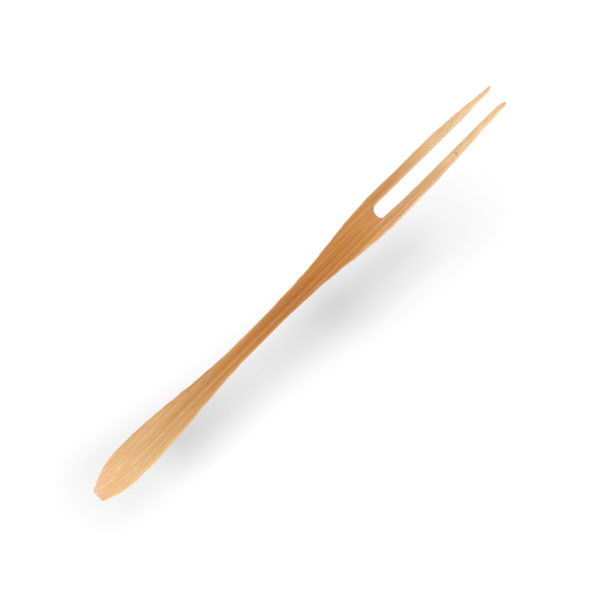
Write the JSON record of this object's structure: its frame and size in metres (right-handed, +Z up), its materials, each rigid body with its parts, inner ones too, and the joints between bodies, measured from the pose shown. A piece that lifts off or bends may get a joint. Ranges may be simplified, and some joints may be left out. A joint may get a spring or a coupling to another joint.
{
  "type": "bamboo fork",
  "caption": "Small flat party fork cut from a bamboo strip, with a leaf-shaped handle, a slim straight neck and a flared head slotted into long tines.",
  "frame": {"origin": "middle of the footprint, on the underside that the fork lies on", "axes": "+X along the grain, from the square butt of the handle to the points of the tines; +Y across the fork to its left tine; +Z up through the thickness"},
  "size_m": [0.09, 0.006, 0.0018],
  "materials": {
    "bamboo": "bare bamboo, sanded, grain along the length"
  },
  "bodies": {
    "root": {"fork": "bamboo"}
  },
  "joints": []
}
